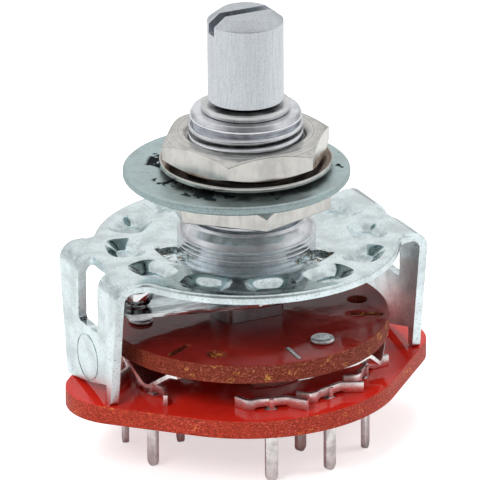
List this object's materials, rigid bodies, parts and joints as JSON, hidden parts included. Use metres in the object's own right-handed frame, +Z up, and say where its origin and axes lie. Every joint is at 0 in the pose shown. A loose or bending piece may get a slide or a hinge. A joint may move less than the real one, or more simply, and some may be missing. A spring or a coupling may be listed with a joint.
{
  "type": "rotary selector switch",
  "caption": "Open-frame rotary switch: slotted shaft in a threaded bushing with nut and washers, dimpled index plate with bent legs, rotor disc with spring wipers, red wafer with solder pins.",
  "frame": {"origin": "on the shaft's axis at the index plate's top face, where the bushing stands on the plate", "axes": "+Z up the shaft towards its slotted end, X from leg to leg, Y across the legs"},
  "size_m": [0.0308, 0.0244, 0.0357],
  "materials": {
    "plate_zinc": "bright zinc plated",
    "bushing_zinc": "zinc alloy, turned thread",
    "nut_nickel": "nickel plated brass",
    "washer_zinc": "zinc plated",
    "shaft_aluminium": "fine brushed along the shaft",
    "ring_steel": "spring steel",
    "spring_steel": "spring steel",
    "ball_steel": "polished",
    "dark_phenolic": "glossy face, fibrous edge",
    "red_phenolic": "glossy",
    "silver_contact": "silver plated",
    "rivet_tin": "tin plated"
  },
  "bodies": {
    "frame_body": {"index_plate": "plate_zinc", "bushing": "bushing_zinc", "backing_nut": "nut_nickel", "flat_washer": "washer_zinc", "lock_washer": "nut_nickel", "panel_nut": "nut_nickel", "stator_wafer": "red_phenolic", "contact_1_1": "silver_contact", "contact_1_2": "silver_contact", "contact_1_3": "silver_contact", "common_1": "silver_contact", "contact_2_1": "silver_contact", "contact_2_2": "silver_contact", "contact_2_3": "silver_contact", "common_2": "silver_contact", "contact_3_1": "silver_contact", "contact_3_2": "silver_contact", "contact_3_3": "silver_contact", "common_3": "silver_contact"},
    "rotor": {"shaft": "shaft_aluminium", "retaining_ring": "ring_steel", "detent_spring": "spring_steel", "detent_ball_1": "ball_steel", "detent_ball_2": "ball_steel", "rotor_disc": "dark_phenolic", "wiper_1": "silver_contact", "rivet_1": "rivet_tin", "wiper_2": "silver_contact", "rivet_2": "rivet_tin", "wiper_3": "silver_contact", "rivet_3": "rivet_tin"}
  },
  "joints": [
    {"name": "shaft_turn", "type": "hinge", "parent": "frame_body", "child": "rotor", "pos_m": [0, 0, 0], "axis": [0, 0, 1], "range_deg": [-60, 0]}
  ]
}
